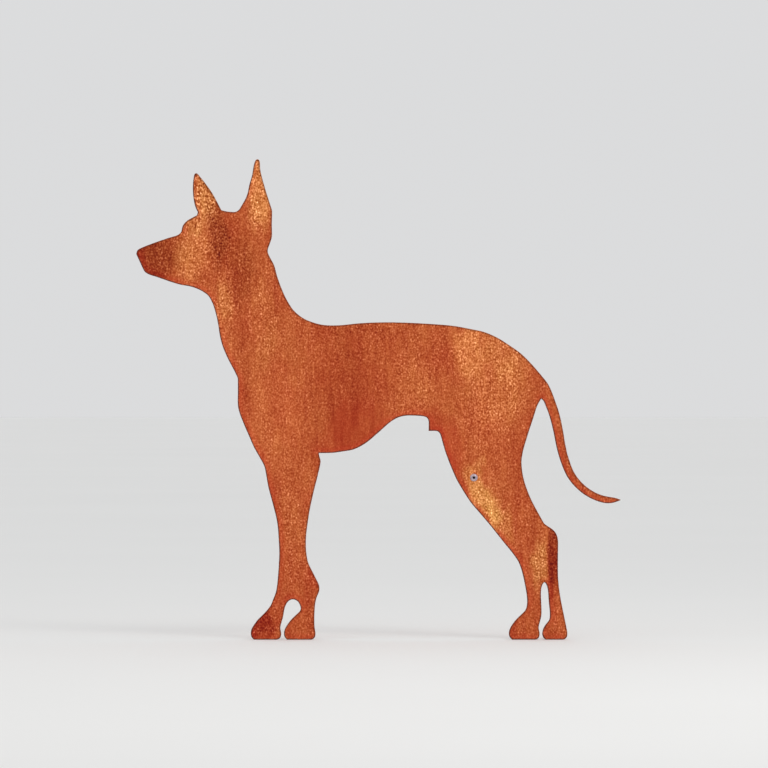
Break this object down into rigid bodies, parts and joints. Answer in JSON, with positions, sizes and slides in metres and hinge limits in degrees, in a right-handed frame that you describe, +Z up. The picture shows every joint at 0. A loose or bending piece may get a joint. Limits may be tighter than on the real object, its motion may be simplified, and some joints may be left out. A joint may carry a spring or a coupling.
{
  "type": "dog silhouette garden sculpture",
  "caption": "Flat garden silhouette of a standing prick-eared dog, cut from rusted weathering-steel plate, with a small rivet in the thigh; its paws are set in the ground.",
  "frame": {"origin": "middle of the flat sole of the near, leading forepaw, where it is cut off at the ground", "axes": "+X from the dog's nose towards its tail, along the plate; +Y through the plate's thickness, away from the face that carries the rivet's head; +Z up"},
  "size_m": [0.5042, 0.0075, 0.5],
  "materials": {
    "weathered_steel": "rusted, matt, finely speckled orange-brown",
    "rivet_metal": "dull, slightly weathered"
  },
  "bodies": {
    "root": {"dog_plate": "weathered_steel", "thigh_rivet": "rivet_metal"}
  },
  "joints": []
}
